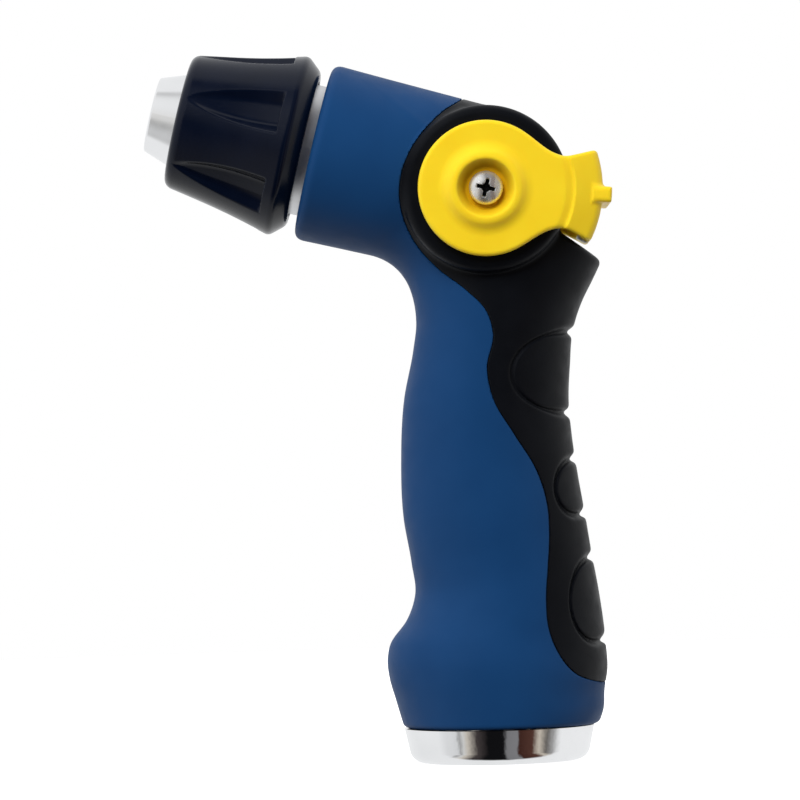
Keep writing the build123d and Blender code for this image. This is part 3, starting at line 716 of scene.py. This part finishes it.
def make_finishes():
    recess_shade_middle = (0, RECESS_SHADE_SIDE, pivot_z * MM)
    cross_shade_middle = (0, (HEAD_TOP - DOME_RADIUS) * MM, pivot_z * MM)
    return {
        "blue_rubber": Finish("blue_rubber", 0.5, Specular_IOR_Level=0.12)
        .colours(0.018, (0.0068, 0.0450, 0.142), (0.0084, 0.0525, 0.162))
        .gloss(0.004, 0.46, 0.56)
        .bumps(0.0006, 0.00001)
        .bumps(0.012, 0.00004, detail=1.0).material,
        "black_rubber": Finish("black_rubber", 0.42, Specular_IOR_Level=0.10)
        .colours(0.010, (0.0030, 0.0036, 0.0052), (0.0048, 0.0056, 0.0078))
        .gloss(0.003, 0.36, 0.50)
        .bumps(0.0005, 0.000012).material,
        "black_plastic": Finish("black_plastic", 0.3, Specular_IOR_Level=0.19)
        .colours(0.008, (0.0014, 0.0034, 0.0110), (0.0022, 0.0046, 0.0140))
        .gloss(0.004, 0.16, 0.23)
        .bumps(0.0009, 0.000008)
        .bumps(0.009, 0.00003, detail=1.0).material,
        "yellow_plastic": Finish(
            "yellow_plastic", 0.36, Specular_IOR_Level=0.22, Subsurface_Weight=0.15,
            Subsurface_Radius=(0.0016, 0.0008, 0.0002), Subsurface_Scale=1.0,
        )
        .colours(0.011, (0.95, 0.650, 0.018), (0.98, 0.705, 0.024))
        # Painted shade: the yellow turns golden brown towards the screws' recesses.
        .paint_shade_inside(recess_shade_middle, RECESS_SHADE_NEAR, RECESS_SHADE_FAR, (0.62, 0.33, 0.004))
        .gloss(0.003, 0.32, 0.42)
        .bumps(0.0008, 0.00001)
        .bumps(0.008, 0.00004, detail=1.0).material,
        "chrome_plate": Finish("chrome_plate", 0.08, 1.0)
        .colours(0.012, (0.80, 0.805, 0.81), (0.87, 0.87, 0.875))
        .gloss(0.003, 0.08, 0.14)
        .bumps(0.006, 0.000006, detail=1.0).material,
        "cast_chrome": Finish("cast_chrome", 0.08, 1.0)
        .colours(0.012, (0.80, 0.805, 0.81), (0.87, 0.87, 0.875))
        .polish(low_height=0.06, high_height=0.10, low_roughness=0.06, high_roughness=0.48)
        .bumps(0.0025, 0.00003, detail=2.0).material,
        "screw_steel": Finish("screw_steel", 0.3, 1.0)
        .colours(0.002, (0.74, 0.74, 0.73), (0.88, 0.87, 0.86))
        .gloss(0.0008, 0.24, 0.36)
        .bumps(0.0012, 0.000006).material,
        "lever_screw_steel": Finish("lever_screw_steel", 0.3, 0.85)
        .colours(0.002, (0.80, 0.80, 0.79), (0.92, 0.91, 0.90))
        # Painted shade: the steel turns near black inside the cross recess.
        .paint_shade_inside(cross_shade_middle, CROSS_SHADE_NEAR, CROSS_SHADE_FAR, (0.02, 0.02, 0.022))
        .gloss(0.0012, 0.24, 0.32)
        .bumps(0.0015, 0.000003).material,
        "brass": Finish("brass", 0.25, 1.0)
        .colours(0.004, (0.62, 0.42, 0.15), (0.74, 0.54, 0.24))
        .gloss(0.001, 0.20, 0.38)
        .bumps(0.0005, 0.00001).material,
        "seat_plastic": Finish("seat_plastic", 0.45)
        .colours(0.004, (0.72, 0.70, 0.64), (0.82, 0.80, 0.75))
        .gloss(0.002, 0.40, 0.52)
        .bumps(0.0006, 0.00001).material,
        "seal_rubber": Finish("seal_rubber", 0.55)
        .colours(0.003, (0.010, 0.010, 0.010), (0.018, 0.018, 0.018))
        .gloss(0.002, 0.48, 0.64)
        .bumps(0.0004, 0.00001).material,
    }


def finish_piece(piece, body, slot, finishes, *nodes, finish=None):
    """Paints the piece, hangs it on the body it rides on, and hides the CAD nodes it stands for."""
    piece.data.materials.clear()
    piece.data.materials.append(finishes[finish or slot])
    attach(piece, body)
    if nodes:
        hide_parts(*nodes)


MOST_TRIANGLES = 190000     # the most triangles a thinned piece keeps; a piece may have 200,000


def build_pieces(finishes):
    finish_piece(
        field_mesh(
            "blue_jacket", jacket_field, (-46, -22, 6.5), (26, 22, 157), 0.42, MOST_TRIANGLES,
        ),
        "nozzle_body", "blue_rubber", finishes, "rubber_jacket",
    )
    finish_piece(
        field_mesh(
            "black_grip", grip_field, (-21, -20.5, 14.5), (27, 20.5, 148), 0.38, MOST_TRIANGLES,
        ),
        "nozzle_body", "black_rubber", finishes, "grip_insert",
    )
    finish_piece(
        field_mesh("yellow_lever", lever_field, (-16, -25, 108.5), (29, 25, 141.5), 0.36),
        "lever", "yellow_plastic", finishes, "thumb_lever",
    )
    finish_piece(
        field_mesh("fluted_knob", knob_field, (-73.5, -21.5, 113), (-34, 21.5, 163.5), 0.36),
        "spray_head", "black_plastic", finishes, "twist_knob",
    )
    finish_piece(
        field_mesh("cross_screws", screw_field, (-4.3, -24.4, 120.9), (4.3, 24.4, 129.5), 0.13),
        "lever", "screw_steel", finishes, "lever_screws", finish="lever_screw_steel",
    )
    finish_piece(hose_thread(), "nozzle_body", "chrome_plate", finishes)


def paint_cad_nodes(finishes):
    """Gives the CAD nodes that stay in view their own finish."""
    for row in frame["record"]["subparts"]:
        node = frame["nodes"][row["node"]]
        for material_slot in node.material_slots:
            material_slot.material = finishes[row["material_slot"]]
    for material_slot in frame["nodes"]["body_casting"].material_slots:
        material_slot.material = finishes["cast_chrome"]


# ---------------------------------------------------------------- studio

FLOOR_RADIUS, FLOOR_SIDES = 0.6, 96
FLOOR_GLOW = 0.70
BACKGROUND = (1.0, 1.0, 1.0, 1)
# The room in front of the object, from its left end (-1) to its right end (1).
ROOM_BANDS = [
    (-1.00, (0.80, 0.81, 0.82)),
    (-0.84, (0.78, 0.79, 0.80)),
    (-0.78, (0.74, 0.75, 0.76)),
    (-0.74, (0.40, 0.40, 0.40)),
    (-0.69, (0.70, 0.70, 0.69)),
    (-0.62, (0.62, 0.57, 0.50)),
    (-0.46, (0.06, 0.05, 0.05)),
    (-0.24, (0.006, 0.006, 0.007)),
    (0.08, (0.006, 0.006, 0.007)),
    (0.14, (0.20, 0.20, 0.21)),
    (0.34, (0.22, 0.22, 0.23)),
    (0.38, (0.05, 0.020, 0.015)),
    (0.62, (0.09, 0.040, 0.030)),
    (0.72, (0.60, 0.54, 0.46)),
    (0.82, (0.15, 0.14, 0.13)),
    (0.97, (0.70, 0.71, 0.72)),
]
BEHIND_START, BEHIND_END = -0.30, -0.05         # where the room turns white, towards the back
TABLE_WHITE = (0.92, 0.93, 0.94, 1)
# Soft lamp up and to the left, and how wide it is as a cosine.
GLOW_DIRECTION = (-0.62, -0.50, 0.60)
GLOW_EDGE = 0.72
SOFT_SHARE = 0.75           # how much of the room's light dull surfaces get


def make_floor(height):
    """Backlit white sheet, round, that the object stands on."""
    turns = [2 * math.pi * i / FLOOR_SIDES for i in range(FLOOR_SIDES)]
    rim = [(FLOOR_RADIUS * math.cos(turn), FLOOR_RADIUS * math.sin(turn), height) for turn in turns]
    mesh = bpy.data.meshes.new("floor")
    mesh.from_pydata(rim, [], [range(FLOOR_SIDES)])
    floor = bpy.data.objects.new("floor", mesh)
    bpy.context.scene.collection.objects.link(floor)
    finish = Finish(
        "floor_sheet", 0.9, Specular_IOR_Level=0.1,
        Emission_Color=(1, 1, 1, 1), Emission_Strength=FLOOR_GLOW,
    )
    finish.colours(0.5, (0.86, 0.86, 0.86), (0.90, 0.90, 0.90))
    mesh.materials.append(finish.material)
    floor.visible_glossy = False
    floor.visible_diffuse = False


def soft_light(name, place, target, size, power):
    """Rectangular lamp that shiny surfaces don't see."""
    data = bpy.data.lights.new(name, "AREA")
    data.shape = "RECTANGLE"
    data.size, data.size_y = size
    data.energy = power
    light = bpy.data.objects.new(name, data)
    bpy.context.scene.collection.objects.link(light)
    light.visible_glossy = False
    light.location = place
    light.rotation_euler = (Vector(target) - Vector(place)).to_track_quat("-Z", "Y").to_euler()


def make_room():
    """White behind the object, a dim banded room in front of it, and a white background."""
    world = bpy.data.worlds.new("room")
    bpy.context.scene.world = world
    world.use_nodes = True
    tree = world.node_tree

    def node(kind, **settings):
        made = tree.nodes.new(kind)
        for key, value in settings.items():
            setattr(made, key, value)
        return made

    place = node("ShaderNodeTexCoord")
    split = node("ShaderNodeSeparateXYZ")
    tree.links.new(place.outputs["Generated"], split.inputs["Vector"])
    across = node("ShaderNodeMapRange")
    across.inputs["From Min"].default_value = -1
    tree.links.new(split.outputs["X"], across.inputs["Value"])
    bands = node("ShaderNodeValToRGB")
    stops = bands.color_ramp.elements
    while len(stops) < len(ROOM_BANDS):
        stops.new(0.5)
    for stop, (position, colour) in zip(stops, ROOM_BANDS):
        stop.position = (position + 1) / 2
        stop.color = (*colour, 1)
    tree.links.new(across.outputs["Result"], bands.inputs["Fac"])
    behind = node("ShaderNodeMapRange", interpolation_type="SMOOTHSTEP")
    behind.inputs["From Min"].default_value = BEHIND_START
    behind.inputs["From Max"].default_value = BEHIND_END
    tree.links.new(split.outputs["Y"], behind.inputs["Value"])
    table = node("ShaderNodeMixRGB")
    table.inputs["Color2"].default_value = TABLE_WHITE
    tree.links.new(behind.outputs["Result"], table.inputs["Fac"])
    tree.links.new(bands.outputs["Color"], table.inputs["Color1"])
    towards = node("ShaderNodeVectorMath", operation="DOT_PRODUCT")
    towards.inputs[1].default_value = Vector(GLOW_DIRECTION).normalized()
    tree.links.new(place.outputs["Generated"], towards.inputs[0])
    glow = node("ShaderNodeMapRange", interpolation_type="SMOOTHSTEP")
    glow.inputs["From Min"].default_value = GLOW_EDGE
    tree.links.new(towards.outputs["Value"], glow.inputs["Value"])
    lit = node("ShaderNodeMixRGB")
    lit.inputs["Color2"].default_value = TABLE_WHITE
    tree.links.new(glow.outputs["Result"], lit.inputs["Fac"])
    tree.links.new(table.outputs["Color"], lit.inputs["Color1"])
    path = node("ShaderNodeLightPath")
    seen = node("ShaderNodeMixRGB")
    seen.inputs["Color2"].default_value = BACKGROUND
    tree.links.new(path.outputs["Is Camera Ray"], seen.inputs["Fac"])
    tree.links.new(lit.outputs["Color"], seen.inputs["Color1"])
    background = tree.nodes["Background"]
    tree.links.new(seen.outputs["Color"], background.inputs["Color"])
    strength = node("ShaderNodeMapRange")
    strength.inputs["To Min"].default_value = 1.0
    strength.inputs["To Max"].default_value = SOFT_SHARE
    tree.links.new(path.outputs["Is Diffuse Ray"], strength.inputs["Value"])
    tree.links.new(strength.outputs["Result"], background.inputs["Strength"])


def make_studio():
    bpy.context.scene.view_settings.view_transform = "Standard"
    make_room()
    middle = (-0.02, 0, 0.08)
    soft_light("key_box", (-0.33, -0.95, 0.85), middle, size=(0.6, 0.6), power=14.4)
    soft_light("right_box", (0.95, -0.70, 0.35), middle, size=(0.35, 0.7), power=1.5)


make_camera()
finishes = make_finishes()
paint_cad_nodes(finishes)
build_pieces(finishes)
make_floor(cad_bounds[0][2])
make_studio()
